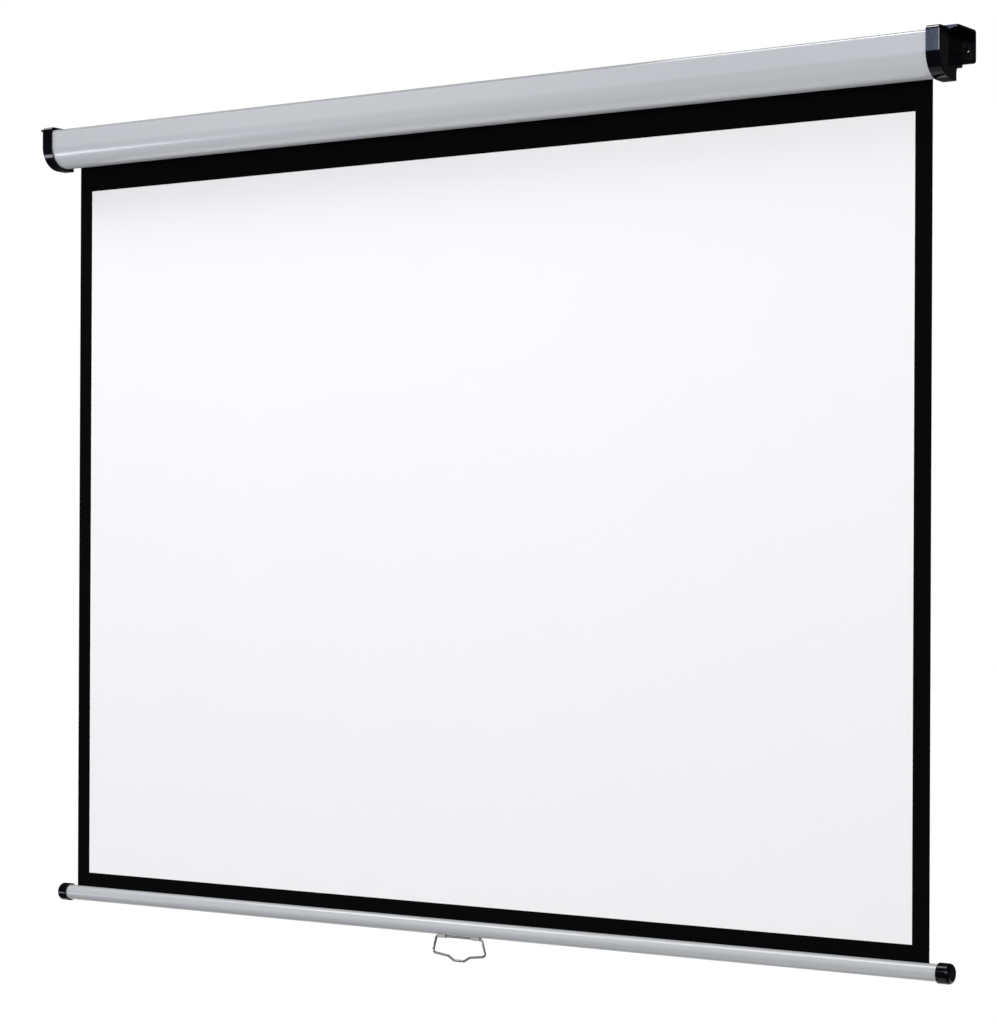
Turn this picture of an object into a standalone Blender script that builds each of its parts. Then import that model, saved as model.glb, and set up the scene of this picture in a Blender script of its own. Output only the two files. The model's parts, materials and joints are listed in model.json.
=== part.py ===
"""Pull-down projector screen with a self-locking spring roller.

Metres, +Z up. +X runs along the screen to the right, +Y points into the wall. The origin is the
middle of the case's flat back, on the wall plane. The screen is modelled pulled down.
"""

import math

import bmesh
import bpy
from mathutils import Matrix, Vector

# Cloth and picture area
IMAGE_WIDTH = 1.450
IMAGE_HEIGHT = 1.0875
SIDE_BORDER = 0.025
TOP_BORDER = 0.0367
BOTTOM_BORDER = 0.022
CLOTH_THICKNESS = 0.0004
COAT_THICKNESS = 0.0002
CLOTH_SETBACK = 0.016

# Case, a bent sheet closed behind by the wall side
CASE_OVERHANG = 0.031
CASE_DEPTH = 0.0665
CASE_HEIGHT = 0.0588
CASE_BACK_HEIGHT = 0.040
CASE_WALL = 0.0012
CASE_TOP_RADIUS = 0.0055
CASE_FRONT_RADIUS = 0.032
CASE_BEND_RADIUS = 0.002
FRONT_LIP_GAP = 0.013
FRONT_LIP_HEIGHT = 0.008
REAR_FLANGE_DEPTH = 0.012
REAR_LIP_HEIGHT = 0.005

# End caps
CAP_LENGTH = 0.0195
CAP_SIDE_WALL = 0.003
CAP_FRONT_WALL = 0.0022
CAP_TOP_WALL = 0.0042
CAP_BOTTOM_WALL = 0.0026
CAP_UNDER_WALL = 0.0020
CAP_THROAT_GAP = 0.0025
CAP_THROAT_WALL = 0.0012
CAP_TOP_RADIUS = 0.0055
CAP_THROAT_RADIUS = 0.009
CAP_EDGE_RADIUS = 0.0012
CAP_BOSS_RADIUS = 0.0125
CAP_BOSS_LENGTH = 0.011
CAP_SOCKET_FLOOR = 0.002

# Wall ear and ceiling tab of each end cap
EAR_WIDTH = 0.019
EAR_THICKNESS = 0.004
EAR_DROP = 0.0185
EAR_HOLE_DROP = 0.0025
EAR_CORNER_RADIUS = 0.0032
EAR_BEND_RADIUS = 0.004
TAB_THICKNESS = 0.003
TAB_DEPTH = 0.054
WEB_THICKNESS = 0.0016
WEB_DEPTH = 0.008
WEB_REACH = 0.0055
WEB_RISE = 0.007
BRACE_DROP = 0.0045
COLLAR_HEIGHT = 0.003
EAR_COLLAR_RADIUS = 0.0033
SCREW_HOLE_RADIUS = 0.0021
SCREW_SINK_RADIUS = 0.0026
SCREW_SINK_DEPTH = 0.0005

# Roller and its left bearing
ROLLER_SETBACK = 0.033
ROLLER_DROP = 0.009
TUBE_RADIUS = 0.015
TUBE_WALL = 0.001
WRAP_TURNS = 1.0
PLUG_LENGTH = 0.020
PLUG_FLANGE = 0.002
PIN_RADIUS = 0.004
PIN_GRIP = 0.030
BUSH_WALL = 0.0022
BUSH_FLANGE = 0.0015
BUSH_FLANGE_RADIUS = 0.010

# Spring motor
SHAFT_RADIUS = 0.004
TANG_THICKNESS = 0.005
SPRING_TURNS = 24
SPRING_PITCH = 0.012
SPRING_RADIUS = 0.0085
SPRING_WIRE_RADIUS = 0.001
COLLAR_LENGTH = 0.010
COLLAR_RADIUS = 0.0105
SPRING_PLUG_LENGTH = 0.018

# Roller lock
RATCHET_RADIUS = 0.008
NOTCH_DEPTH = 0.0025
NOTCH_RAMP = 58.0
NOTCH_COUNT = 2
RATCHET_THICKNESS = 0.004
PAWL_PIVOT_RADIUS = 0.0122
PAWL_EYE_RADIUS = 0.0026
PAWL_WIDTH = 0.0034
PAWL_SWING = 20.0
PAWL_CROTCH_ANGLE = 42.0
PAWL_HEEL_ANGLE = 19.0
PAWL_BELLY_END = 14.0
PAWL_PIN_RADIUS = 0.0013
PAWL_PIN_SEAT = 0.005
PAWL_PIN_HEAD_RADIUS = 0.0022
PAWL_PIN_HEAD = 0.0008
LOCK_ROOM = 0.0059

# Bottom bar
BAR_RADIUS = 0.0115
BAR_WALL = 0.0012
BAR_SLOT = 0.0024
BAR_OVERHANG = 0.0145
HEM_ROD_RADIUS = 0.003
HEM_ROD_OVERHANG = 0.007
BAR_CAP_WALL = 0.00195
BAR_CAP_LENGTH = 0.019
BAR_CAP_SIDE_WALL = 0.0025
BAR_CAP_EDGE = 0.0055
BAR_CAP_SPIGOT = 0.010

# Pull handle and its straps
HANDLE_WIRE_RADIUS = 0.00175
HANDLE_TOP_WIDTH = 0.080
HANDLE_LOW_WIDTH = 0.094
HANDLE_DROP = 0.0245
GRIP_SHOULDER_WIDTH = 0.038
GRIP_SHOULDER_DROP = 0.028
GRIP_WIDTH = 0.018
GRIP_DROP = 0.034
HANDLE_BEND_RADIUS = 0.0045
STRAP_WIDTH = 0.014
STRAP_SPACING = 0.060
STRAP_THICKNESS = 0.0008
STRAP_SPREAD = 48.0

# Screws that hold the end caps to the case
CAP_SCREW_RADIUS = 0.0015
CAP_SCREW_HEAD_RADIUS = 0.003
CAP_SCREW_LENGTH = 0.0085
CAP_SCREW_SETBACK = 0.026

# Clearances
GAP = 0.0003
RUNNING_GAP = 0.0001
CUT = 0.001
JOIN = 0.001

# Sizes worked out from the ones above
CLOTH_WIDTH = IMAGE_WIDTH + 2 * SIDE_BORDER
CASE_LENGTH = CLOTH_WIDTH + 2 * CASE_OVERHANG
BAR_VISIBLE_LENGTH = CLOTH_WIDTH + 2 * BAR_OVERHANG
CASE_TOP = CASE_BACK_HEIGHT / 2
CASE_BOTTOM = CASE_TOP - CASE_HEIGHT
IMAGE_TOP = CASE_BOTTOM - TOP_BORDER
IMAGE_BOTTOM = IMAGE_TOP - IMAGE_HEIGHT
BAR_AXIS = IMAGE_BOTTOM - BOTTOM_BORDER - BAR_RADIUS
CAP_TOP = CASE_TOP + GAP + CAP_TOP_WALL
CAP_BOTTOM = CASE_BOTTOM - GAP - CAP_BOTTOM_WALL
CAP_FLOOR = CASE_LENGTH / 2 + GAP
CAP_OUTER = CAP_FLOOR + CAP_SIDE_WALL
CAP_INNER = CAP_OUTER - CAP_LENGTH
BOSS_END = CAP_FLOOR - CAP_BOSS_LENGTH
SOCKET_BOTTOM = CAP_FLOOR - CAP_SOCKET_FLOOR
LOCK_OUTER = BOSS_END - LOCK_ROOM - PAWL_PIN_HEAD
LOCK_INNER = LOCK_OUTER - RATCHET_THICKNESS
LOCK_MIDDLE = (LOCK_INNER + LOCK_OUTER) / 2
FLANGE_END = LOCK_INNER - GAP
TUBE_END = FLANGE_END - PLUG_FLANGE - GAP
TUBE_BORE = TUBE_RADIUS - TUBE_WALL
ROLLER_Y = -ROLLER_SETBACK
ROLLER_Z = -ROLLER_DROP
HANDLE_AXIS = BAR_AXIS - BAR_RADIUS - GAP - HANDLE_WIRE_RADIUS
BAR_BORE = BAR_RADIUS - BAR_WALL
SLOT_LIP = BAR_AXIS + math.sqrt(BAR_BORE**2 - (BAR_SLOT / 2) ** 2)
HEM_AXIS = SLOT_LIP - math.sqrt((HEM_ROD_RADIUS + GAP) ** 2 - (BAR_SLOT / 2) ** 2)

ROUND = 48
SMALL_ROUND = 24
ARC_STEPS = 10

# Where an outline drawn flat stands in the room, by the axis that it is extruded along
PLANES = {
    "X": Matrix(((0, 0, 1), (1, 0, 0), (0, 1, 0))).to_4x4(),
    "Y": Matrix(((1, 0, 0), (0, 0, -1), (0, 1, 0))).to_4x4(),
    "Z": Matrix.Identity(4),
}

# Turns a solid made along X so that its +X end faces one way
FACING = {
    "room": Matrix.Rotation(math.radians(-90), 4, "Z"),
    "floor": Matrix.Rotation(math.radians(90), 4, "Y"),
    "ceiling": Matrix.Rotation(math.radians(-90), 4, "Y"),
}

for leftover in list(bpy.data.objects):
    bpy.data.objects.remove(leftover)

screen = bpy.data.collections.new("projector_screen")
bpy.context.scene.collection.children.link(screen)
cutters = bpy.data.collections.new("cutters")
bpy.context.scene.collection.children.link(cutters)


def arc(y, z, radius, start, end, steps=ARC_STEPS):
    """Points on a circle about (y, z), from one angle to another in degrees."""
    angles = [math.radians(start + (end - start) * i / steps) for i in range(steps + 1)]
    return [(y + radius * math.cos(a), z + radius * math.sin(a)) for a in angles]


def polar(radius, degrees, y=0.0, z=0.0):
    """One point at a radius and an angle about (y, z)."""
    angle = math.radians(degrees)
    return (y + radius * math.cos(angle), z + radius * math.sin(angle))


def turn_about(point, pivot, degrees):
    """A flat point turned about another."""
    angle = math.radians(degrees)
    y, z = point[0] - pivot[0], point[1] - pivot[1]
    return (
        pivot[0] + y * math.cos(angle) - z * math.sin(angle),
        pivot[1] + y * math.sin(angle) + z * math.cos(angle),
    )


def fillet(corners, radii, steps=4, closed=True):
    """An outline with each corner rounded by its own radius; a radius of 0 leaves it sharp."""
    rounded = []
    count = len(corners)
    for i, radius in enumerate(radii):
        corner = Vector(corners[i])
        if radius == 0 or (not closed and i in (0, count - 1)):
            rounded.append(tuple(corner))
            continue
        before = (Vector(corners[i - 1]) - corner).normalized()
        after = (Vector(corners[(i + 1) % count]) - corner).normalized()
        half = before.angle(after) / 2
        centre = corner + (before + after).normalized() * radius / math.sin(half)
        first = corner + before * radius / math.tan(half) - centre
        last = corner + after * radius / math.tan(half) - centre
        sweep = math.atan2(first.x * last.y - first.y * last.x, first.dot(last))
        for k in range(steps + 1):
            point = Matrix.Rotation(sweep * k / steps, 2) @ first + centre
            rounded.append(tuple(point))
    return rounded


def add(name, mesh, matrix=Matrix.Identity(4), cutter=False):
    """A mesh object in the screen's collection, or among the cutters."""
    obj = bpy.data.objects.new(name, mesh)
    obj.matrix_world = matrix
    if cutter:
        cutters.objects.link(obj)
        obj.hide_render = True
        obj.display_type = "WIRE"
    else:
        screen.objects.link(obj)
    bpy.context.view_layer.update()
    return obj


def made_mesh(obj, name, flatten=False, cutter=False):
    """The evaluated shape of a curve or a modified object as a plain mesh with its seams welded."""
    matrix = obj.matrix_world.copy()
    graph = bpy.context.evaluated_depsgraph_get()
    mesh = bpy.data.meshes.new_from_object(obj.evaluated_get(graph))
    bpy.data.objects.remove(obj)
    shape = bmesh.new()
    shape.from_mesh(mesh)
    bmesh.ops.remove_doubles(shape, verts=shape.verts, dist=0.000001)
    loose = [edge for edge in shape.edges if not edge.link_faces]
    bmesh.ops.delete(shape, geom=loose, context="EDGES")
    if flatten:
        bmesh.ops.dissolve_limit(
            shape, angle_limit=math.radians(0.05), verts=shape.verts, edges=shape.edges
        )
    bmesh.ops.recalc_face_normals(shape, faces=shape.faces)
    shape.to_mesh(mesh)
    shape.free()
    return add(name, mesh, matrix, cutter)


def flat_curve(name, outlines, closed=True):
    """A flat curve with one straight-sided spline for each outline."""
    curve = bpy.data.curves.new(name, "CURVE")
    curve.dimensions = "2D"
    for points in outlines:
        spline = curve.splines.new("POLY")
        spline.points.add(len(points) - 1)
        for target, point in zip(spline.points, points):
            target.co = (point[0], point[1], 0, 1)
        spline.use_cyclic_u = closed
    return curve


def extruded(name, outlines, start, end, axis="X", flatten=False, cutter=False):
    """A solid with a flat outline, and holes where inner ones are given, between two places."""
    curve = flat_curve(name, outlines)
    curve.fill_mode = "BOTH"
    curve.extrude = abs(end - start) / 2
    turn = PLANES[axis]
    middle = (start + end) / 2 * (-1 if axis == "Y" else 1)
    matrix = turn @ Matrix.Translation((0, 0, middle))
    return made_mesh(add(name, curve, matrix), name, flatten, cutter)


def bent_sheet(name, path, start, end, thickness):
    """A sheet bent along a flat path between two places on X, its thickness to the path's left."""
    curve = flat_curve(name, [path], closed=False)
    curve.fill_mode = "NONE"
    curve.extrude = abs(end - start) / 2
    matrix = PLANES["X"] @ Matrix.Translation((0, 0, (start + end) / 2))
    strip = add(name, curve, matrix)
    graph = bpy.context.evaluated_depsgraph_get()
    mesh = bpy.data.meshes.new_from_object(strip.evaluated_get(graph))
    bpy.data.objects.remove(strip)
    sheet = add(name, mesh, matrix)
    wall = sheet.modifiers.new("wall", "SOLIDIFY")
    wall.thickness = thickness
    wall.use_even_offset = True
    wall.offset = 1.0 if left_of_path(mesh, path) else -1.0
    return made_mesh(sheet, name)


def left_of_path(mesh, path):
    """Whether a strip's faces point to the left of the path that it follows."""
    along = Vector(path[1]) - Vector(path[0])
    left = Vector((-along.y, along.x))
    middle = (Vector(path[0]) + Vector(path[1])) / 2
    nearest = min(mesh.polygons, key=lambda face: (face.center.xy - middle).length)
    return nearest.normal.xy.dot(left) > 0


def turned(name, profile, y, z, side=1, steps=ROUND, cutter=False):
    """A solid turned about a line along X through (y, z); its profile lists (x, radius) pairs.

    A cutter is turned on by half a step, so that its corners miss those of what it cuts.
    """
    mesh = bpy.data.meshes.new(name)
    points = [(radius, 0, x) for x, radius in profile]
    count = len(points)
    mesh.from_pydata(points, [(i, (i + 1) % count) for i in range(count)], [])
    turn = Matrix(((0, 0, side), (0, 1, 0), (1, 0, 0))).to_4x4()
    lead = Matrix.Rotation(math.pi / steps if cutter else 0, 4, "X")
    obj = add(name, mesh, Matrix.Translation((0, y, z)) @ lead @ turn)
    spin = obj.modifiers.new("spin", "SCREW")
    spin.steps = steps
    spin.render_steps = steps
    spin.use_merge_vertices = True
    spin.merge_threshold = 0.00001
    return made_mesh(obj, name, cutter=cutter)


def wire(name, points, radius, closed=False, resolution=2, matrix=Matrix.Identity(4)):
    """A round wire along a list of points."""
    curve = bpy.data.curves.new(name, "CURVE")
    curve.dimensions = "3D"
    curve.bevel_depth = radius
    curve.bevel_resolution = resolution
    curve.use_fill_caps = not closed
    spline = curve.splines.new("POLY")
    spline.points.add(len(points) - 1)
    for target, point in zip(spline.points, points):
        target.co = (*point, 1)
    spline.use_cyclic_u = closed
    return made_mesh(add(name, curve, matrix), name)


def combine(body, tool, operation):
    """Cuts a tool out of a body or joins it to it, and takes the tool away."""
    step = body.modifiers.new(operation.lower(), "BOOLEAN")
    step.operation = operation
    step.solver = "EXACT"
    step.object = tool
    graph = bpy.context.evaluated_depsgraph_get()
    body.data = bpy.data.meshes.new_from_object(body.evaluated_get(graph))
    body.modifiers.clear()
    bpy.data.objects.remove(tool)
    return body


def round_edges(obj, chosen, radius, segments=2):
    """Rounds the edges of a mesh whose two ends satisfy a test on points in the mesh's own frame."""
    shape = bmesh.new()
    shape.from_mesh(obj.data)
    edges = [e for e in shape.edges if chosen(e.verts[0].co, e.verts[1].co)]
    bmesh.ops.bevel(
        shape, geom=edges, offset=radius, segments=segments, profile=0.5, affect="EDGES"
    )
    shape.to_mesh(obj.data)
    shape.free()
    return obj


def finish(obj, colour, roughness, metallic=0.0, smooth=30.0):
    """Gives a piece its own material and shades its round faces smooth."""
    material = bpy.data.materials.new(obj.name)
    material.use_nodes = True
    shader = material.node_tree.nodes["Principled BSDF"]
    shader.inputs["Base Color"].default_value = (*colour, 1)
    shader.inputs["Roughness"].default_value = roughness
    shader.inputs["Metallic"].default_value = metallic
    material.diffuse_color = (*colour, 1)
    obj.data.materials.clear()
    obj.data.materials.append(material)
    obj.data.shade_smooth()
    obj.data.set_sharp_from_angle(angle=math.radians(smooth))
    return obj


def axis_empty(name, x, y, z, parent=None):
    """An empty on a joint's axis, which carries the pieces that move with it."""
    empty = bpy.data.objects.new(name, None)
    empty.location = (x, y, z)
    screen.objects.link(empty)
    bpy.context.view_layer.update()
    if parent:
        carry(parent, [empty])
    return empty


def carry(parent, pieces):
    """Parents pieces to an empty and leaves them where they are."""
    for piece in pieces:
        piece.parent = parent
        piece.matrix_parent_inverse = parent.matrix_world.inverted()
    bpy.context.view_layer.update()


SILVER = (0.50, 0.52, 0.54)
BLACK_PLASTIC = (0.010, 0.011, 0.016)
STEEL = (0.56, 0.56, 0.55)
SPRING_STEEL = (0.18, 0.18, 0.19)
NICKEL = (0.68, 0.66, 0.60)
ZINC = (0.60, 0.61, 0.62)
WHITE_PLASTIC = (0.75, 0.75, 0.72)
BLACK_CLOTH = (0.006, 0.006, 0.007)
MATT_WHITE = (0.84, 0.84, 0.84)


def case_path():
    """The case's outer line in section, from the rear flange's lip round to the front lip."""
    front_lip = -CLOTH_SETBACK - FRONT_LIP_GAP
    corners = [
        (-REAR_FLANGE_DEPTH, -CASE_TOP + REAR_LIP_HEIGHT),
        (-REAR_FLANGE_DEPTH, -CASE_TOP),
        (0, -CASE_TOP),
        (0, CASE_TOP),
        (-CASE_DEPTH, CASE_TOP),
        (-CASE_DEPTH, CASE_BOTTOM),
        (front_lip, CASE_BOTTOM),
        (front_lip, CASE_BOTTOM + FRONT_LIP_HEIGHT),
    ]
    bends = [CASE_BEND_RADIUS] * 3 + [CASE_TOP_RADIUS, CASE_FRONT_RADIUS, CASE_BEND_RADIUS]
    path = [corners[0]]
    for i, radius in enumerate(bends, start=1):
        steps = 16 if radius == CASE_FRONT_RADIUS else 5
        path += fillet(corners[i - 1 : i + 2], [0, radius, 0], steps, closed=False)[1:-1]
    return path + [corners[-1]]


def make_case():
    """Silver-grey lacquered steel sheet, bent to a box with a round lower front, open below."""
    case = bent_sheet("case", case_path(), -CASE_LENGTH / 2, CASE_LENGTH / 2, CASE_WALL)
    for side in (-1, 1):
        combine(case, cap_screw_solid("screw_hole", side, GAP, cutter=True), "DIFFERENCE")
    return finish(case, SILVER, 0.32, 0.35)


def cap_outline():
    """The end cap's outer line: the case's outline made larger by the gap and the cap's own walls."""
    front = -CASE_DEPTH - GAP - CAP_FRONT_WALL
    throat = -CLOTH_SETBACK - CAP_THROAT_GAP + GAP + CAP_THROAT_WALL
    under = -CASE_TOP - GAP - CAP_UNDER_WALL
    arc_radius = CASE_FRONT_RADIUS + GAP + (CAP_FRONT_WALL + CAP_BOTTOM_WALL) / 2
    corners = [
        (0, CAP_TOP),
        (front, CAP_TOP),
        (front, CAP_BOTTOM),
        (throat, CAP_BOTTOM),
        (throat, under),
        (0, under),
    ]
    path = [corners[0]]
    path += fillet(corners[0:3], [0, CAP_TOP_RADIUS, 0], 5, closed=False)[1:-1]
    path += fillet(corners[1:4], [0, arc_radius, 0], 16, closed=False)[1:-1]
    path.append(corners[3])
    path += fillet(corners[3:6], [0, CAP_THROAT_RADIUS, 0], 6, closed=False)[1:-1]
    path.append(corners[5])
    return path


def cap_pocket():
    """The hollow that the case's end slides into, open towards the wall."""
    front = -CASE_DEPTH - GAP
    lip = -CLOTH_SETBACK - CAP_THROAT_GAP + GAP
    corners = [
        (CUT, CASE_TOP + GAP),
        (front, CASE_TOP + GAP),
        (front, CASE_BOTTOM - GAP),
        (lip, CASE_BOTTOM - GAP),
        (lip, -CASE_TOP - GAP),
        (CUT, -CASE_TOP - GAP),
    ]
    path = [corners[0]]
    path += fillet(corners[0:3], [0, CASE_TOP_RADIUS + GAP, 0], 5, closed=False)[1:-1]
    path += fillet(corners[1:4], [0, CASE_FRONT_RADIUS + GAP, 0], 16, closed=False)[1:-1]
    return path + corners[3:]


def wall_bracket(side):
    """The angle that fastens the screen: an ear on the wall, a tab under the ceiling and three webs."""
    outer = CAP_OUTER + EAR_WIDTH
    root = CAP_OUTER - CAP_SIDE_WALL / 2
    corners = [
        (0, -EAR_DROP),
        (0, CAP_TOP),
        (-TAB_DEPTH, CAP_TOP),
        (-TAB_DEPTH, CAP_TOP - TAB_THICKNESS),
        (-EAR_THICKNESS, CAP_TOP - TAB_THICKNESS),
        (-EAR_THICKNESS, -EAR_DROP),
    ]
    outline = fillet(corners, [0, 0, 0, 0, TAB_THICKNESS, 0])
    angle = extruded("bracket", [outline], side * root, side * outer, flatten=True)
    half = (outer - root) / 2

    def outer_corner(a, b):
        at_end = min(a.z * side, b.z * side) > half - GAP
        below_ear = max(a.y, b.y) < -EAR_DROP + GAP
        before_tab = max(a.x, b.x) < -TAB_DEPTH + GAP
        return at_end and (below_ear or before_tab)

    round_edges(angle, outer_corner, EAR_CORNER_RADIUS, 4)
    web = [(side * root, -EAR_THICKNESS + GAP), (side * root, -EAR_THICKNESS - WEB_DEPTH)]
    web += [(side * (CAP_OUTER + WEB_REACH), -EAR_THICKNESS + GAP)]
    for height in (WEB_RISE, -EAR_DROP):
        rib = extruded("rib", [web], height, height + WEB_THICKNESS, "Z")
        combine(angle, rib, "UNION")
    brace = [(side * root, CAP_TOP - TAB_THICKNESS + GAP)]
    brace += [(side * root, CAP_TOP - TAB_THICKNESS - BRACE_DROP)]
    brace += [(side * (outer - EAR_CORNER_RADIUS), CAP_TOP - TAB_THICKNESS + GAP)]
    rib = extruded("rib", [brace], -TAB_DEPTH, -TAB_DEPTH + WEB_THICKNESS, "Y")
    combine(angle, rib, "UNION")
    profile = [(COLLAR_HEIGHT, 0), (COLLAR_HEIGHT, EAR_COLLAR_RADIUS)]
    profile += [(-JOIN, EAR_COLLAR_RADIUS), (-JOIN, 0)]
    collar = turned("collar", profile, 0, 0, steps=SMALL_ROUND)
    middle = side * (CAP_OUTER + EAR_WIDTH / 2)
    face(collar, "room", (middle, -EAR_THICKNESS, -EAR_HOLE_DROP))
    return combine(angle, collar, "UNION")


def bend_cutter(side):
    """What is cut off the end cap's square rear top corner to leave a round bend there."""
    radius = EAR_BEND_RADIUS
    outline = [(CUT, CAP_TOP - radius)]
    outline += arc(-radius, CAP_TOP - radius, radius, 0, 90, 5)
    outline += [(-radius, CAP_TOP + CUT), (CUT, CAP_TOP + CUT)]
    start = side * (CAP_INNER - CUT)
    end = side * (CAP_OUTER + EAR_WIDTH + CUT)
    return extruded("bend", [outline], start, end, cutter=True)


def face(solid, direction, place):
    """Moves a solid that was turned about X to a place, its +X end facing the given way."""
    solid.matrix_world = Matrix.Translation(place) @ FACING[direction] @ solid.matrix_world
    bpy.context.view_layer.update()
    return solid


def screw_hole(direction, place, depth):
    """A hole with a chamfered mouth through a plate; its mouth is at the place and faces one way."""
    slope = (SCREW_SINK_RADIUS - SCREW_HOLE_RADIUS) / SCREW_SINK_DEPTH
    profile = [
        (CUT, 0),
        (CUT, SCREW_SINK_RADIUS + CUT * slope),
        (-SCREW_SINK_DEPTH, SCREW_HOLE_RADIUS),
        (-depth - CUT, SCREW_HOLE_RADIUS),
        (-depth - CUT, 0),
    ]
    hole = turned("hole", profile, 0, 0, steps=SMALL_ROUND, cutter=True)
    return face(hole, direction, place)


def make_end_cap(name, side):
    """Black moulded cap: a cup over the case's end with a boss for the roller and the wall bracket."""
    cap = extruded(name, [cap_outline()], side * CAP_INNER, side * CAP_OUTER, flatten=True)
    half = CAP_LENGTH / 2

    def outer_rim(a, b):
        at_end = min(a.z * side, b.z * side) > half - GAP
        return at_end and min(a.x, b.x) < -GAP

    round_edges(cap, outer_rim, CAP_EDGE_RADIUS)
    pocket = extruded(
        "pocket", [cap_pocket()], side * (CAP_INNER - CUT), side * CAP_FLOOR, cutter=True
    )
    combine(cap, pocket, "DIFFERENCE")
    rim = [(CAP_FLOOR + JOIN, 0), (CAP_FLOOR + JOIN, CAP_BOSS_RADIUS), (BOSS_END, CAP_BOSS_RADIUS)]
    bush_radius = PIN_RADIUS + RUNNING_GAP + BUSH_WALL + GAP
    socket = [(BOSS_END, bush_radius), (SOCKET_BOTTOM, bush_radius), (SOCKET_BOTTOM, 0)]
    inner = socket if side < 0 else [(BOSS_END, 0)]
    combine(cap, turned("boss", rim + inner, ROLLER_Y, ROLLER_Z, side), "UNION")
    combine(cap, wall_bracket(side), "UNION")
    combine(cap, bend_cutter(side), "DIFFERENCE")
    if side > 0:
        half_slot = TANG_THICKNESS / 2 + GAP
        half_width = SHAFT_RADIUS + GAP
        corners = [(-half_width, -half_slot), (half_width, -half_slot)]
        corners += [(half_width, half_slot), (-half_width, half_slot)]
        outline = [(ROLLER_Y + y, ROLLER_Z + z) for y, z in corners]
        keyway = extruded("keyway", [outline], BOSS_END - CUT, SOCKET_BOTTOM, cutter=True)
        combine(cap, keyway, "DIFFERENCE")
    middle = side * (CAP_OUTER + EAR_WIDTH / 2)
    mouth = EAR_THICKNESS + COLLAR_HEIGHT
    combine(cap, screw_hole("room", (middle, -mouth, -EAR_HOLE_DROP), mouth), "DIFFERENCE")
    below = CAP_TOP - TAB_THICKNESS
    tab_hole = screw_hole("floor", (middle, -TAB_DEPTH / 2, below), TAB_THICKNESS)
    combine(cap, tab_hole, "DIFFERENCE")
    combine(cap, cap_screw_solid("screw_seat", side, GAP, cutter=True), "DIFFERENCE")
    return finish(cap, BLACK_PLASTIC, 0.22)


def cap_screw_solid(name, side, clearance=0.0, cutter=False):
    """The countersunk screw through the cap's top wall, or with a clearance the seat that it goes in."""
    sink = CAP_SCREW_HEAD_RADIUS - CAP_SCREW_RADIUS
    radius = CAP_SCREW_RADIUS + clearance
    top = CUT if cutter else -GAP
    tip = -CAP_SCREW_LENGTH - clearance
    profile = [
        (top, 0),
        (top, radius + sink + GAP + top),
        (-GAP - sink, radius),
        (tip, radius),
        (tip, 0),
    ]
    screw = turned(name, profile, 0, 0, steps=SMALL_ROUND, cutter=cutter)
    x = side * (CAP_INNER + CAP_FLOOR) / 2
    return face(screw, "ceiling", (x, -CAP_SCREW_SETBACK, CAP_TOP))


def make_bearing():
    """The roller's left end: a plastic plug in the tube, a steel pin, and a nylon bush in the cap."""
    plug_bore = PIN_RADIUS + GAP
    outer = TUBE_BORE - GAP
    plug = turned(
        "idle_plug",
        [
            (FLANGE_END, plug_bore),
            (FLANGE_END, TUBE_RADIUS),
            (TUBE_END + GAP, TUBE_RADIUS),
            (TUBE_END + GAP, outer),
            (TUBE_END - PLUG_LENGTH, outer),
            (TUBE_END - PLUG_LENGTH, plug_bore),
        ],
        ROLLER_Y,
        ROLLER_Z,
        -1,
    )
    tip = SOCKET_BOTTOM - GAP
    pin = turned(
        "idle_pin",
        [
            (tip, 0),
            (tip, PIN_RADIUS - CUT),
            (tip - CUT, PIN_RADIUS),
            (tip - PIN_GRIP, PIN_RADIUS),
            (tip - PIN_GRIP, 0),
        ],
        ROLLER_Y,
        ROLLER_Z,
        -1,
    )
    bore = PIN_RADIUS + RUNNING_GAP
    bush = turned(
        "idle_bush",
        [
            (tip, bore),
            (tip, bore + BUSH_WALL),
            (BOSS_END - GAP, bore + BUSH_WALL),
            (BOSS_END - GAP, BUSH_FLANGE_RADIUS),
            (BOSS_END - GAP - BUSH_FLANGE, BUSH_FLANGE_RADIUS),
            (BOSS_END - GAP - BUSH_FLANGE, bore),
        ],
        ROLLER_Y,
        ROLLER_Z,
        -1,
    )
    finish(bush, WHITE_PLASTIC, 0.4)
    return [finish(plug, WHITE_PLASTIC, 0.45), finish(pin, ZINC, 0.3, 1.0)]


def make_tube():
    """Thin steel tube, as long as the cloth is wide and a little more."""
    tube = turned(
        "roller_tube",
        [
            (TUBE_END, TUBE_BORE),
            (TUBE_END, TUBE_RADIUS),
            (-TUBE_END, TUBE_RADIUS),
            (-TUBE_END, TUBE_BORE),
        ],
        ROLLER_Y,
        ROLLER_Z,
    )
    return finish(tube, ZINC, 0.4, 1.0)


def make_wraps():
    """The turn of cloth that stays on the tube, a spiral strip one cloth thick."""
    layer = CLOTH_THICKNESS + GAP
    steps = int(ROUND * WRAP_TURNS)
    start = TUBE_RADIUS + GAP / math.cos(math.pi / ROUND)
    inner = []
    outer = []
    for i in range(steps + 1):
        degrees = -360 * WRAP_TURNS * (1 - i / steps)
        radius = start + layer * WRAP_TURNS * i / steps
        inner.append(polar(radius, degrees, ROLLER_Y, ROLLER_Z))
        outer.append(polar(radius + CLOTH_THICKNESS, degrees, ROLLER_Y, ROLLER_Z))
    half = CLOTH_WIDTH / 2
    wraps = extruded("fabric_wraps", [inner + outer[::-1]], -half, half)
    return finish(wraps, BLACK_CLOTH, 0.9)


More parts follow.
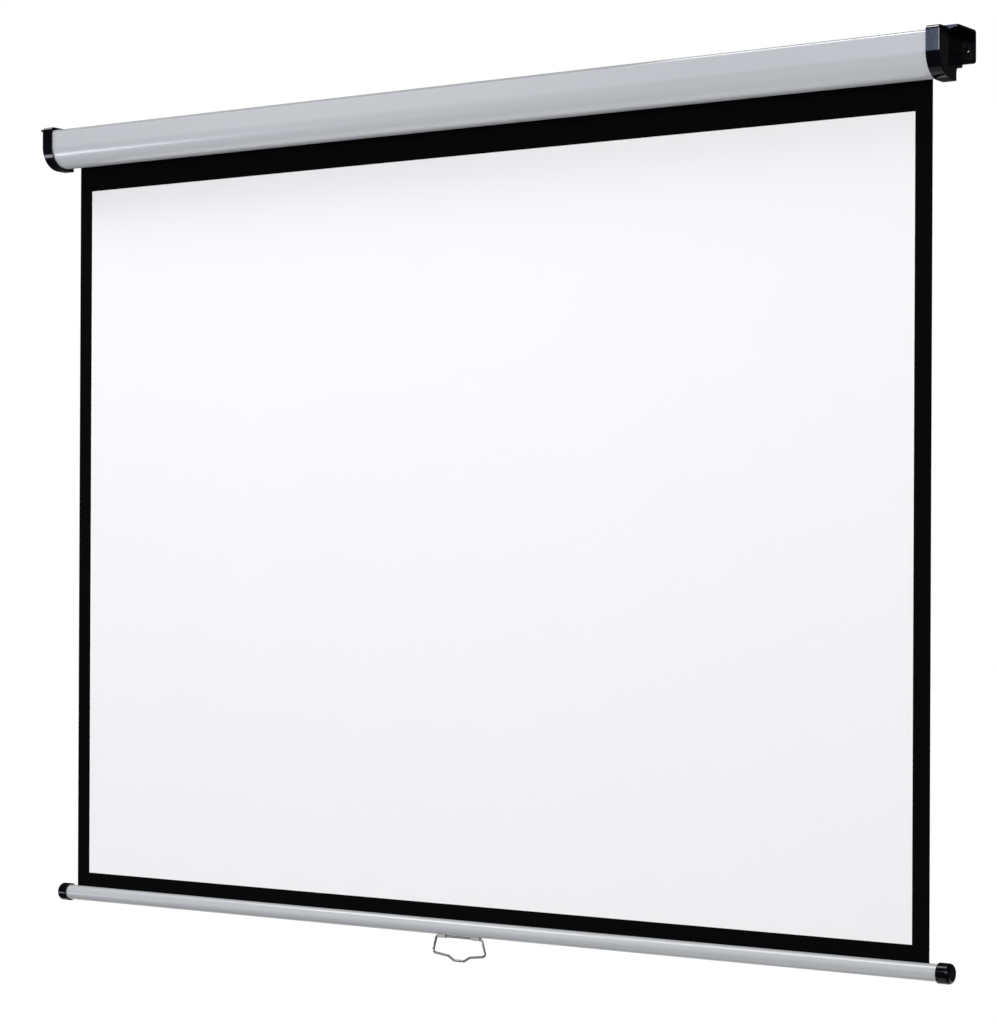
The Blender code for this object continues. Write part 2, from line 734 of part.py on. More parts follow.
def make_cloth():
    """The screen cloth, black behind and at its borders, and the matt white coat of the picture area."""
    hem_end = HEM_AXIS + HEM_ROD_RADIUS + GAP
    cloth = plate(
        "fabric_sheet", CLOTH_WIDTH, CLOTH_THICKNESS, hem_end, ROLLER_Z, -CLOTH_SETBACK
    )
    front = -CLOTH_SETBACK - CLOTH_THICKNESS / 2 - GAP - COAT_THICKNESS / 2
    coat = plate("image_coat", IMAGE_WIDTH, COAT_THICKNESS, IMAGE_BOTTOM, IMAGE_TOP, front)
    finish(cloth, BLACK_CLOTH, 0.9)
    finish(coat, MATT_WHITE, 0.85)


def plate(name, width, thickness, low, high, y):
    """A thin upright sheet between two heights."""
    bpy.ops.mesh.primitive_cube_add(size=1, location=(0, y, (low + high) / 2))
    sheet = bpy.context.active_object
    sheet.name = name
    sheet.scale = (width, thickness, high - low)
    bpy.ops.object.transform_apply(location=False, rotation=False, scale=True)
    for owner in list(sheet.users_collection):
        owner.objects.unlink(sheet)
    screen.objects.link(sheet)
    return sheet


def make_spring_motor():
    """The fixed shaft with its tang, the torsion spring round it, and the collar of its end."""
    tang_end = SOCKET_BOTTOM - GAP
    collar_end = TUBE_END - PLUG_LENGTH - GAP
    spring_start = collar_end - COLLAR_LENGTH - GAP - SPRING_WIRE_RADIUS
    spring_end = spring_start - SPRING_TURNS * SPRING_PITCH
    plug_start = spring_end - SPRING_WIRE_RADIUS - GAP
    shaft_start = plug_start - SPRING_PLUG_LENGTH
    shaft = turned(
        "spring_shaft",
        [(tang_end, 0), (tang_end, SHAFT_RADIUS), (shaft_start, SHAFT_RADIUS), (shaft_start, 0)],
        ROLLER_Y,
        ROLLER_Z,
        steps=SMALL_ROUND,
    )
    half = TANG_THICKNESS / 2
    for low, high in ((half, SHAFT_RADIUS + CUT), (-SHAFT_RADIUS - CUT, -half)):
        corners = [
            (ROLLER_Y - SHAFT_RADIUS - CUT, ROLLER_Z + low),
            (ROLLER_Y + SHAFT_RADIUS + CUT, ROLLER_Z + low),
            (ROLLER_Y + SHAFT_RADIUS + CUT, ROLLER_Z + high),
            (ROLLER_Y - SHAFT_RADIUS - CUT, ROLLER_Z + high),
        ]
        flat = extruded("flat", [corners], BOSS_END - GAP, tang_end + CUT, cutter=True)
        combine(shaft, flat, "DIFFERENCE")
    finish(shaft, STEEL, 0.35, 1.0)

    bore = SHAFT_RADIUS + GAP
    collar = turned(
        "spring_collar",
        [
            (collar_end, bore),
            (collar_end, COLLAR_RADIUS),
            (collar_end - COLLAR_LENGTH / 2, COLLAR_RADIUS),
            (collar_end - COLLAR_LENGTH / 2, COLLAR_RADIUS - SPRING_WIRE_RADIUS * 2),
            (collar_end - COLLAR_LENGTH, COLLAR_RADIUS - SPRING_WIRE_RADIUS * 2),
            (collar_end - COLLAR_LENGTH, bore),
        ],
        ROLLER_Y,
        ROLLER_Z,
        steps=SMALL_ROUND,
    )
    finish(collar, STEEL, 0.4, 1.0)

    coil = []
    per_turn = 10
    for i in range(SPRING_TURNS * per_turn + 1):
        y, z = polar(SPRING_RADIUS, 360 * i / per_turn, ROLLER_Y, ROLLER_Z)
        coil.append((spring_start - SPRING_PITCH * i / per_turn, y, z))
    spring = wire("torsion_spring", coil, SPRING_WIRE_RADIUS, resolution=1)
    finish(spring, SPRING_STEEL, 0.4, 1.0)
    half_turn = per_turn // 2
    least = min(
        math.dist(coil[i], coil[j])
        for i in range(len(coil))
        for j in range(i + half_turn, len(coil))
    )
    gap = (least - 2 * SPRING_WIRE_RADIUS) * 1000
    print(f"torsion spring: least gap between its turns {gap:.2f} mm")

    running = SHAFT_RADIUS + RUNNING_GAP
    plug = turned(
        "spring_plug",
        [
            (plug_start, running),
            (plug_start, TUBE_BORE - GAP),
            (shaft_start, TUBE_BORE - GAP),
            (shaft_start, running),
        ],
        ROLLER_Y,
        ROLLER_Z,
    )
    return [finish(plug, WHITE_PLASTIC, 0.45)]


def make_lock_plug():
    """The plug in the tube's right end; its flange carries the two pawl pins."""
    running = SHAFT_RADIUS + RUNNING_GAP
    outer = TUBE_BORE - GAP
    plug = turned(
        "lock_plug",
        [
            (FLANGE_END, running),
            (FLANGE_END, TUBE_RADIUS),
            (TUBE_END + GAP, TUBE_RADIUS),
            (TUBE_END + GAP, outer),
            (TUBE_END - PLUG_LENGTH, outer),
            (TUBE_END - PLUG_LENGTH, running),
        ],
        ROLLER_Y,
        ROLLER_Z,
    )
    for degrees in (0, 180):
        y, z = polar(PAWL_PIVOT_RADIUS, degrees, ROLLER_Y, ROLLER_Z)
        depth = TUBE_END - PAWL_PIN_SEAT
        radius = PAWL_PIN_RADIUS + GAP
        profile = [(FLANGE_END + CUT, 0), (FLANGE_END + CUT, radius), (depth, radius), (depth, 0)]
        hole = turned("pin_hole", profile, y, z, steps=SMALL_ROUND, cutter=True)
        combine(plug, hole, "DIFFERENCE")
    return finish(plug, ZINC, 0.4, 1.0)


def make_ratchet():
    """The notched disc fixed on the shaft: each notch has a radial stop and a ramp."""
    floor = RATCHET_RADIUS - NOTCH_DEPTH
    outline = []
    pitch = 360 / NOTCH_COUNT
    for notch in range(NOTCH_COUNT):
        stop = 90 + notch * pitch
        outline.append(polar(floor, stop, ROLLER_Y, ROLLER_Z))
        outline += arc(
            ROLLER_Y, ROLLER_Z, RATCHET_RADIUS, stop, stop + pitch - NOTCH_RAMP, ROUND // 4
        )
        for k in range(1, 5):
            share = k / 5
            radius = RATCHET_RADIUS - NOTCH_DEPTH * share
            degrees = stop + pitch - NOTCH_RAMP * (1 - share)
            outline.append(polar(radius, degrees, ROLLER_Y, ROLLER_Z))
    bore = arc(ROLLER_Y, ROLLER_Z, SHAFT_RADIUS + GAP, 0, 360 - 360 / SMALL_ROUND, SMALL_ROUND - 1)
    disc = extruded("ratchet_disc", [outline, bore], LOCK_INNER, LOCK_OUTER)
    return finish(disc, STEEL, 0.35, 1.0)


def pawl_outline(turn):
    """A pawl in section, let go of the disc; the turn about the roller puts it at its own place."""
    pivot = (PAWL_PIVOT_RADIUS, 0)
    floor = RATCHET_RADIUS - NOTCH_DEPTH
    tip = polar(floor + 2 * GAP, 90 - math.degrees(2 * GAP / floor))
    face_top = polar(RATCHET_RADIUS + PAWL_EYE_RADIUS, 90 - math.degrees(2 * GAP / floor))
    heel = polar(RATCHET_RADIUS + PAWL_EYE_RADIUS, 90 - PAWL_HEEL_ANGLE)
    belly = arc(0, 0, RATCHET_RADIUS + 2 * GAP, 90 - PAWL_CROTCH_ANGLE, PAWL_BELLY_END, 5)
    eye = arc(*pivot, PAWL_EYE_RADIUS, 190, 420, 14)
    engaged = [tip] + belly + eye + [heel, face_top]
    released = [turn_about(point, pivot, -PAWL_SWING) for point in engaged]
    hole = arc(*pivot, PAWL_PIN_RADIUS + RUNNING_GAP, 0, 360 - 360 / SMALL_ROUND, SMALL_ROUND - 1)
    shapes = []
    for points in (released, hole):
        turned_points = [turn_about(point, (0, 0), turn) for point in points]
        shapes.append([(ROLLER_Y + y, ROLLER_Z + z) for y, z in turned_points])
    return shapes


def make_pawl(name, turn):
    """A steel dog on its pin: it drops into the disc's notch when the roller turns slowly."""
    start = LOCK_MIDDLE - PAWL_WIDTH / 2
    pawl = extruded(name, pawl_outline(turn), start, start + PAWL_WIDTH)
    return finish(pawl, STEEL, 0.35, 1.0)


def make_pawl_pin(name, turn):
    """The pin that a pawl swings on, set in the lock plug's flange, its head outside the pawl."""
    y, z = polar(PAWL_PIVOT_RADIUS, turn, ROLLER_Y, ROLLER_Z)
    root = TUBE_END - PAWL_PIN_SEAT + GAP
    head = LOCK_OUTER + PAWL_PIN_HEAD
    profile = [
        (head, 0),
        (head, PAWL_PIN_HEAD_RADIUS),
        (LOCK_OUTER, PAWL_PIN_HEAD_RADIUS),
        (LOCK_OUTER, PAWL_PIN_RADIUS),
        (root, PAWL_PIN_RADIUS),
        (root, 0),
    ]
    pin = turned(name, profile, y, z, steps=SMALL_ROUND)
    return finish(pin, STEEL, 0.3, 1.0)


def make_bottom_bar():
    """Silver-grey aluminium tube that hangs by its slot's lips on the rod in the cloth's hem."""
    lip = math.degrees(math.asin(BAR_SLOT / 2 / BAR_RADIUS))
    inner_lip = math.degrees(math.asin(BAR_SLOT / 2 / BAR_BORE))
    outline = arc(-CLOTH_SETBACK, BAR_AXIS, BAR_RADIUS, 90 + lip, 450 - lip, ROUND)
    outline += arc(-CLOTH_SETBACK, BAR_AXIS, BAR_BORE, 450 - inner_lip, 90 + inner_lip, ROUND)
    half = BAR_VISIBLE_LENGTH / 2 + BAR_CAP_LENGTH - BAR_CAP_SIDE_WALL - GAP
    bar = extruded("bottom_bar", [outline], -half, half)
    finish(bar, SILVER, 0.30, 0.5)

    end = CLOTH_WIDTH / 2 + HEM_ROD_OVERHANG
    rod = turned(
        "hem_rod",
        [(end, 0), (end, HEM_ROD_RADIUS), (-end, HEM_ROD_RADIUS), (-end, 0)],
        -CLOTH_SETBACK,
        HEM_AXIS,
        steps=SMALL_ROUND,
    )
    return [bar, finish(rod, WHITE_PLASTIC, 0.5)]


def make_bar_cap(name, side):
    """Black moulded cup over the tube's end with a spigot inside the tube."""
    rim = BAR_VISIBLE_LENGTH / 2
    end = rim + BAR_CAP_LENGTH
    floor = end - BAR_CAP_SIDE_WALL
    outer = BAR_RADIUS + GAP + BAR_CAP_WALL
    pocket = BAR_RADIUS + GAP
    spigot = BAR_BORE - GAP
    bend = arc(outer - BAR_CAP_EDGE, end - BAR_CAP_EDGE, BAR_CAP_EDGE, 90, 0, 6)
    corner = [(x, r) for r, x in bend]
    profile = [(end, 0)] + corner
    profile += [(rim, outer), (rim, pocket), (floor, pocket), (floor, spigot)]
    profile += [(floor - BAR_CAP_SPIGOT, spigot), (floor - BAR_CAP_SPIGOT, 0)]
    cap = turned(name, profile, -CLOTH_SETBACK, BAR_AXIS, side)
    return finish(cap, BLACK_PLASTIC, 0.22)


def make_handle():
    """One loop of plated wire: a straight rail under the bar, two sides and a dropped finger grip."""
    corners = [
        (-HANDLE_TOP_WIDTH / 2, 0),
        (-HANDLE_LOW_WIDTH / 2, -HANDLE_DROP),
        (-GRIP_SHOULDER_WIDTH / 2, -GRIP_SHOULDER_DROP),
        (-GRIP_WIDTH / 2, -GRIP_DROP),
        (GRIP_WIDTH / 2, -GRIP_DROP),
        (GRIP_SHOULDER_WIDTH / 2, -GRIP_SHOULDER_DROP),
        (HANDLE_LOW_WIDTH / 2, -HANDLE_DROP),
        (HANDLE_TOP_WIDTH / 2, 0),
    ]
    path = fillet(corners, [HANDLE_BEND_RADIUS] * len(corners))
    points = [(x, -CLOTH_SETBACK, HANDLE_AXIS + z) for x, z in path]
    handle = wire("pull_handle", points, HANDLE_WIRE_RADIUS, closed=True)
    return finish(handle, NICKEL, 0.25, 1.0, smooth=60)


def make_strap(name, x):
    """A bright strip bent round the handle's wire, its two legs clinched through slits in the bar."""
    loop = HANDLE_WIRE_RADIUS + GAP
    bed = BAR_BORE - GAP - STRAP_THICKNESS
    fold = math.degrees(math.asin(loop / bed))
    path = arc(-CLOTH_SETBACK, BAR_AXIS, bed, 270 - STRAP_SPREAD, 270 - fold, 6)
    path += arc(-CLOTH_SETBACK, HANDLE_AXIS, loop, 180, 360, 10)
    path += arc(-CLOTH_SETBACK, BAR_AXIS, bed, 270 + fold, 270 + STRAP_SPREAD, 6)
    strap = bent_sheet(name, path[::-1], x - STRAP_WIDTH / 2, x + STRAP_WIDTH / 2, STRAP_THICKNESS)
    return finish(strap, NICKEL, 0.3, 1.0)


def cut_strap_slits(bar, x):
    """The two slits in the bar's underside that a strap's legs go through."""
    near = HANDLE_WIRE_RADIUS
    far = HANDLE_WIRE_RADIUS + GAP + STRAP_THICKNESS + GAP
    low = BAR_AXIS - BAR_RADIUS - CUT
    high = BAR_AXIS - BAR_BORE + CUT
    half = STRAP_WIDTH / 2 + GAP
    for side in (-1, 1):
        inside = -CLOTH_SETBACK + side * near
        outside = -CLOTH_SETBACK + side * far
        corners = [(inside, low), (outside, low), (outside, high), (inside, high)]
        slit = extruded("slit", [corners], x - half, x + half, cutter=True)
        combine(bar, slit, "DIFFERENCE")


make_case()
make_end_cap("end_cap_left", -1)
make_end_cap("end_cap_right", 1)
for name, side in (("cap_screw_left", -1), ("cap_screw_right", 1)):
    finish(cap_screw_solid(name, side), ZINC, 0.35, 1.0)
make_cloth()

roller_pieces = make_bearing() + [make_tube(), make_wraps()] + make_spring_motor()
roller_pieces += [make_lock_plug()]
make_ratchet()
roller_pieces += [make_pawl_pin("pawl_pin_rear", 0), make_pawl_pin("pawl_pin_front", 180)]
roller_axis = axis_empty("roller_axis", 0, ROLLER_Y, ROLLER_Z)
carry(roller_axis, roller_pieces)
for name, turn in (("pawl_rear", 0), ("pawl_front", 180)):
    pivot_y, pivot_z = polar(PAWL_PIVOT_RADIUS, turn, ROLLER_Y, ROLLER_Z)
    pivot = axis_empty(name + "_axis", LOCK_MIDDLE, pivot_y, pivot_z, roller_axis)
    carry(pivot, [make_pawl(name, turn)])

bar_pieces = make_bottom_bar()
bar_pieces += [make_bar_cap("bar_cap_left", -1), make_bar_cap("bar_cap_right", 1)]
for name, sign in (("left", -1), ("right", 1)):
    place = sign * STRAP_SPACING / 2
    cut_strap_slits(bar_pieces[0], place)
    bar_pieces.append(make_strap("handle_strap_" + name, place))
bar_slide = axis_empty("bar_slide", 0, -CLOTH_SETBACK, BAR_AXIS)
carry(bar_slide, bar_pieces)
handle_axis = axis_empty("handle_axis", 0, -CLOTH_SETBACK, HANDLE_AXIS, bar_slide)
carry(handle_axis, [make_handle()])
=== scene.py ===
import json
import math

import bmesh
import bpy
from mathutils import Matrix, Vector


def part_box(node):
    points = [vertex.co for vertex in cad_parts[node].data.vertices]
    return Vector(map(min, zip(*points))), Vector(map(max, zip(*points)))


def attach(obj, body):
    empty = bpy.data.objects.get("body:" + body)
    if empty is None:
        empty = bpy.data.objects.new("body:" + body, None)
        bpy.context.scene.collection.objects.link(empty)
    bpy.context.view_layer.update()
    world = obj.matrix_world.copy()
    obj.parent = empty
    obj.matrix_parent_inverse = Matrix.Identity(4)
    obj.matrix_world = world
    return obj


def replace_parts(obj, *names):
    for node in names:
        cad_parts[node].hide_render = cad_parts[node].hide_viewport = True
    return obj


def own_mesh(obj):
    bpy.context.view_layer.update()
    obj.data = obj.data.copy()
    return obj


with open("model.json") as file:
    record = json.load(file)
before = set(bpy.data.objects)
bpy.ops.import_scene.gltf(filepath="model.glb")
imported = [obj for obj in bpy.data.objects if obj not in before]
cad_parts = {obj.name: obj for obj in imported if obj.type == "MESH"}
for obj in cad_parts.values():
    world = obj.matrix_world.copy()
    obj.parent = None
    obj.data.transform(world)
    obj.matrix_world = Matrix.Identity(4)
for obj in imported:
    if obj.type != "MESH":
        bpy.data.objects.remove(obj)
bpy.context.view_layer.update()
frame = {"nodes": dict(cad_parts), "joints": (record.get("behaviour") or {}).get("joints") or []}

# The case is a long shell of thin steel sheet, folded at its back and top and rolled to a large
# radius at its lower front. It is sprayed with a satin silver-grey lacquer that holds a little
# aluminium flake under a clear coat. Its lower round is painted paler as painted light from
# below, and a band along the fold at the top is painted dark, bare of clear coat, as painted
# shade.


class Value:
    """A value that varies over a piece. Arithmetic on it adds Math nodes to its tree."""

    def __init__(self, nodes, socket):
        self.nodes = nodes
        self.socket = socket

    def __add__(self, other):
        return self.nodes.maths("ADD", self, other)

    def __sub__(self, other):
        return self.nodes.maths("SUBTRACT", self, other)

    def __rsub__(self, other):
        return self.nodes.maths("SUBTRACT", other, self)

    def __mul__(self, other):
        return self.nodes.maths("MULTIPLY", self, other)

    def __truediv__(self, other):
        return self.nodes.maths("DIVIDE", self, other)

    def __pow__(self, other):
        return self.nodes.maths("POWER", self, other)

    __radd__ = __add__
    __rmul__ = __mul__


class Nodes:
    """A tree of nodes, and the one way in which a node is added to it."""

    def __init__(self, tree):
        self.tree = tree

    def node(self, kind, settings=None, sockets=None, output=0):
        """Adds a node: its settings first, then the values or links of its sockets."""
        made = self.tree.nodes.new(kind)
        for key, value in (settings or {}).items():
            setattr(made, key, value)
        for key, value in (sockets or {}).items():
            self.feed(made.inputs[key], value)
        return Value(self, made.outputs[output])

    def feed(self, socket, value):
        """Links a value that varies to a socket, or sets a plain one on it."""
        if isinstance(value, Value):
            self.tree.links.new(value.socket, socket)
        elif isinstance(value, tuple) and socket.type == "RGBA":
            socket.default_value = (*value, 1)
        else:
            socket.default_value = value

    def maths(self, operation, a, b=0.0, clamp=False):
        """A Math node of one or two values."""
        settings = {"operation": operation, "use_clamp": clamp}
        return self.node("ShaderNodeMath", settings, {0: a, 1: b})

    def step(self, value, start, end):
        """A share that goes smoothly from 0 to 1 as a value goes from a start to an end."""
        sockets = {"Value": value, "From Min": start, "From Max": end}
        return self.node("ShaderNodeMapRange", {"interpolation_type": "SMOOTHSTEP"}, sockets)

    def axes(self, vector):
        """The three numbers of a vector."""
        split = self.node("ShaderNodeSeparateXYZ", {}, {0: vector}).socket.node
        return [Value(self, part) for part in split.outputs]


class Finish(Nodes):
    """One finish of the screen: its material, its shader, and the nodes that feed them."""

    def __init__(self, name, colour, roughness, **shader):
        self.material = bpy.data.materials.new(name)
        self.material.use_nodes = True
        super().__init__(self.material.node_tree)
        self.shader = self.tree.nodes["Principled BSDF"]
        self.place = self.node("ShaderNodeTexCoord", output="Object")
        self.set(**{"Base Color": colour, "Roughness": roughness}, **shader)

    def set(self, **values):
        """Sets or links sockets of the shader."""
        for key, value in values.items():
            self.feed(self.shader.inputs[key], value)

    def noise(self, scale, detail=2.0, stretch=(1, 1, 1)):
        """Noise in the piece's own frame, drawn out along an axis by a stretch below 1."""
        place = self.node("ShaderNodeMapping", {}, {"Vector": self.place, "Scale": stretch})
        sockets = {"Vector": place, "Scale": scale, "Detail": detail}
        return self.node("ShaderNodeTexNoise", {}, sockets)

    def blend(self, share, first, second):
        """A colour between two, by a share."""
        sockets = {"Factor": share, 6: first, 7: second}
        return self.node("ShaderNodeMix", {"data_type": "RGBA"}, sockets, output=2)

    def gloss(self, smoothest, roughest, scale, detail=2.0):
        """Lets the roughness wander between two values in patches."""
        patches = self.noise(scale, detail)
        self.set(Roughness=smoothest + patches * (roughest - smoothest))

    def bump(self, height, depth):
        """Turns a height from 0 to 1 into a bump of that depth in metres, and links it."""
        sockets = {"Height": height, "Distance": depth}
        self.set(Normal=self.node("ShaderNodeBump", {}, sockets))

    def grain(self, depth, scale, detail=2.0, stretch=(1, 1, 1)):
        """A fine grain of that depth in metres."""
        self.bump(self.noise(scale, detail, stretch), depth)


def plain_mesh(piece):
    """Applies a piece's modifiers."""
    graph = bpy.context.evaluated_depsgraph_get()
    piece.data = bpy.data.meshes.new_from_object(piece.evaluated_get(graph))
    piece.modifiers.clear()
    return piece


SHARP_ANGLE = math.radians(32)
SEAM_GAP = 0.000002
COPLANAR_ANGLE = math.radians(0.05)


def smooth(piece):
    """Shades round faces smooth, and lets broad flat faces keep their own normals."""
    piece.data.shade_smooth()
    piece.data.set_sharp_from_angle(angle=SHARP_ANGLE)
    rule = piece.modifiers.new("normals", "WEIGHTED_NORMAL")
    rule.keep_sharp = True
    return plain_mesh(piece)


def smooth_copy(name):
    """A CAD node's mesh with its seams merged and its round faces shaded smooth."""
    shape = bmesh.new()
    shape.from_mesh(frame["nodes"][name].data)
    bmesh.ops.remove_doubles(shape, verts=shape.verts, dist=SEAM_GAP)
    bmesh.ops.dissolve_limit(
        shape, angle_limit=COPLANAR_ANGLE, verts=shape.verts, edges=shape.edges
    )
    mesh = bpy.data.meshes.new(name + "_shown")
    shape.to_mesh(mesh)
    shape.free()
    piece = bpy.data.objects.new(name + "_shown", mesh)
    bpy.context.scene.collection.objects.link(piece)
    return smooth(piece)


def fit(piece, finish, body):
    """Puts a finish on a new piece, and says what it rides on."""
    piece.data.materials.clear()
    piece.data.materials.append(finish.material)
    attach(piece, body)
    return piece


LACQUER = (0.444, 0.457, 0.476)
LACQUER_FLAKE = (0.514, 0.527, 0.544)
# Painted light: the case's lower round is painted this paler grey, standing in for light from
# below.
LACQUER_UNDERLIT = (0.520, 0.534, 0.554)
# Painted shade: the dark line painted along the fold at the case's top edge.
LACQUER_EDGE_SHADE = (0.240, 0.246, 0.256)
PAINT_METAL = 0.02
PAINT_ROUGHNESS = 0.28
FLAKE_SCALE = 2600
FLAKE_SHARE = 0.4
FLAKE_METAL = 0.06
CLOUD_SCALE = 5
CLOUD_STRETCH = (0.3, 1, 1)
CLOUD_ROUGHNESS = 0.08
# The painted shade band at the top fold is rougher and has no clear coat.
SHADE_BAND_ROUGHNESS = 0.22
CLEAR_COAT = 0.55
COAT_ROUGHNESS = 0.14
RIGHT_DULL = 0.65
# Where the paint changes, in metres: the heights of the lower part painted paler as painted light,
# the depth of the painted shade band at the fold below the case's top and behind its front, and
# reaches along the case from its middle.
UNDERLIT_HEIGHTS = (-0.010, -0.021)
EDGE_DEPTH = 0.0022
EDGE_BACK = 0.0046
EDGE_FADE = 0.0008
FLAT_DEPTHS = (0.0035, 0.0055)
LEFT_DEEPER = 0.0023
LEFT_REACH = (0.43, 0.27)
RIGHT_REACH = (0.38, 0.68)
lacquer = Finish("case_lacquer", LACQUER, roughness=0.34, **{"Specular IOR Level": 0.3})
flake = lacquer.noise(FLAKE_SCALE, detail=1.0)
cloud = lacquer.noise(CLOUD_SCALE, detail=3.0, stretch=CLOUD_STRETCH)
x, y, z = lacquer.axes(lacquer.place)
edge_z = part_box("case")[1].z - EDGE_DEPTH
edge_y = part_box("case")[0].y + EDGE_BACK
# The painted shade band along the top fold reaches lower at the left end.
deeper = lacquer.step(x, *LEFT_REACH) * LEFT_DEEPER
shade_band = lacquer.step(z + deeper, edge_z, edge_z + EDGE_FADE)
edge_shade_share = shade_band * lacquer.step(y, edge_y + EDGE_FADE, edge_y)
flat = lacquer.step(z, *[edge_z - depth for depth in FLAT_DEPTHS])
duller = lacquer.step(x, *RIGHT_REACH) * flat * RIGHT_DULL
paint = lacquer.blend(flake * FLAKE_SHARE, LACQUER, LACQUER_FLAKE)
# The lower round is painted paler as painted light from below.
paint = lacquer.blend(lacquer.step(z, *UNDERLIT_HEIGHTS), paint, LACQUER_UNDERLIT)
# A dark line along the top fold, painted as painted shade.
lacquer.set(**{"Base Color": lacquer.blend(edge_shade_share, paint, LACQUER_EDGE_SHADE)})
lacquer.set(Metallic=PAINT_METAL + flake * FLAKE_METAL)
lacquer.set(Roughness=PAINT_ROUGHNESS + cloud * CLOUD_ROUGHNESS + shade_band * SHADE_BAND_ROUGHNESS)
coat_weight = (1 - shade_band) * (1 - duller) * CLEAR_COAT
lacquer.set(**{"Coat Weight": coat_weight, "Coat Roughness": COAT_ROUGHNESS})
lacquer.grain(depth=0.00001, scale=420)
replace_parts(fit(smooth_copy("case"), lacquer, "housing"), "case")

# The end caps are one moulding each: a cup over the case's end, a wall ear, a ceiling tab and
# webs, in a glossy blue-black plastic whose skin is a little pebbled and rippled by the mould.
CAP_BLACK = (0.0010, 0.0012, 0.0026)
SKIN_DEPTH = 0.00008
RIPPLE_SHARE = 0.7
moulded = Finish("black_moulding", CAP_BLACK, roughness=0.16, **{"Specular IOR Level": 0.34})
moulded.gloss(smoothest=0.07, roughest=0.16, scale=60)
ripples = moulded.noise(scale=260, detail=3.0)
pebbles = moulded.noise(scale=1100)
moulded.bump(ripples * RIPPLE_SHARE + pebbles * (1 - RIPPLE_SHARE), SKIN_DEPTH)
for name in ("end_cap_left", "end_cap_right"):
    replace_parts(fit(smooth_copy(name), moulded, "housing"), name)

# A countersunk screw holds each cap to the case from above. It is zinc-plated steel, and a punch
# has struck a cross recess into its head.


class Shape(Nodes):
    """A Geometry Nodes tree that makes one piece, with a named input for each of its sizes."""

    def __init__(self, name, **sizes):
        super().__init__(bpy.data.node_groups.new(name, "GeometryNodeTree"))
        self.name = name
        self.sizes = {}
        faces = self.tree.interface.new_socket
        faces("Start", in_out="INPUT", socket_type="NodeSocketGeometry")
        faces("Piece", in_out="OUTPUT", socket_type="NodeSocketGeometry")
        for label, size in sizes.items():
            kind = "NodeSocketInt" if isinstance(size, int) else "NodeSocketFloat"
            socket = faces(label, in_out="INPUT", socket_type=kind)
            self.sizes[socket.identifier] = size
        given = self.tree.nodes.new("NodeGroupInput").outputs
        self.start = Value(self, given["Start"])
        self.given = {label: Value(self, given[label]) for label in sizes}

    def make(self, geometry, finish, start=None):
        """Ends the tree, runs it on a start mesh, and gives the piece as a plain mesh."""
        solid = self.node("GeometryNodeRealizeInstances", {}, {0: geometry})
        sockets = {0: solid, "Material": finish.material}
        solid = self.node("GeometryNodeSetMaterial", {}, sockets)
        self.tree.links.new(solid.socket, self.tree.nodes.new("NodeGroupOutput").inputs[0])
        piece = bpy.data.objects.new(self.name, start or bpy.data.meshes.new(self.name))
        bpy.context.scene.collection.objects.link(piece)
        rule = piece.modifiers.new("shape", "NODES")
        rule.node_group = self.tree
        for identifier, size in self.sizes.items():
            rule[identifier] = size
        return smooth(plain_mesh(piece))


ZINC = (0.56, 0.57, 0.58)
DRAWN = (0.1, 1, 1)
CROSS_TURNS = (45, 135)
SIDES = (-1, 1)
zinc = Finish("zinc_plate", ZINC, roughness=0.32, Metallic=1.0)
zinc.gloss(smoothest=0.26, roughest=0.40, scale=180, detail=3.0)
zinc.grain(depth=0.00001, scale=700, stretch=DRAWN)
screw_low, screw_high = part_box("cap_screw_right")
recess = Shape(
    "cap_screws",
    recess_length=0.0036,
    recess_width=0.0007,
    recess_depth=0.0012,
    head_x=(screw_low.x + screw_high.x) / 2,
    head_y=(screw_low.y + screw_high.y) / 2,
    head_z=screw_high.z,
)
given = recess.given
blade_size = recess.node(
    "ShaderNodeCombineXYZ",
    {},
    {0: given["recess_length"], 1: given["recess_width"], 2: given["recess_depth"] * 2},
)
blade = recess.node("GeometryNodeMeshCube", {}, {"Size": blade_size})
cross = recess.node("GeometryNodeJoinGeometry")
for turn in CROSS_TURNS:
    sockets = {0: blade, "Rotation": (0, 0, math.radians(turn))}
    turned = recess.node("GeometryNodeTransform", {}, sockets)
    recess.tree.links.new(turned.socket, cross.socket.node.inputs[0])
heads = []
for side in SIDES:
    sockets = {0: given["head_x"] * side, 1: given["head_y"], 2: given["head_z"]}
    heads.append(recess.node("ShaderNodeCombineXYZ", {}, sockets))
sockets = {"Count": len(heads), "Start Location": heads[0], "Offset": heads[1]}
row = recess.node("GeometryNodeMeshLine", {"mode": "END_POINTS"}, sockets)
crosses = recess.node("GeometryNodeInstanceOnPoints", {}, {"Points": row, "Instance": cross})
crosses = recess.node("GeometryNodeRealizeInstances", {}, {0: crosses})
struck = recess.node(
    "GeometryNodeMeshBoolean",
    {"operation": "DIFFERENCE"},
    {"Mesh 1": recess.start, "Mesh 2": crosses},
)
blanks = bmesh.new()
for side in ("left", "right"):
    blank = smooth_copy("cap_screw_" + side)
    blanks.from_mesh(blank.data)
    bpy.data.objects.remove(blank)
blank_mesh = bpy.data.meshes.new("screw_blanks")
blanks.to_mesh(blank_mesh)
blanks.free()
screws = fit(recess.make(struck, zinc, blank_mesh), zinc, "housing")
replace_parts(screws, "cap_screw_left", "cap_screw_right")

# The roller is a zinc-plated tube between nylon plugs. Its left end turns on a pin in a nylon
# bush, and its right end holds the spring, its shaft, and the disc and dogs of the lock.


def dress(finish, *names):
    """Gives CAD nodes a finish in place of their plain material."""
    for name in names:
        node = frame["nodes"][name]
        node.data.materials.clear()
        node.data.materials.append(finish.material)


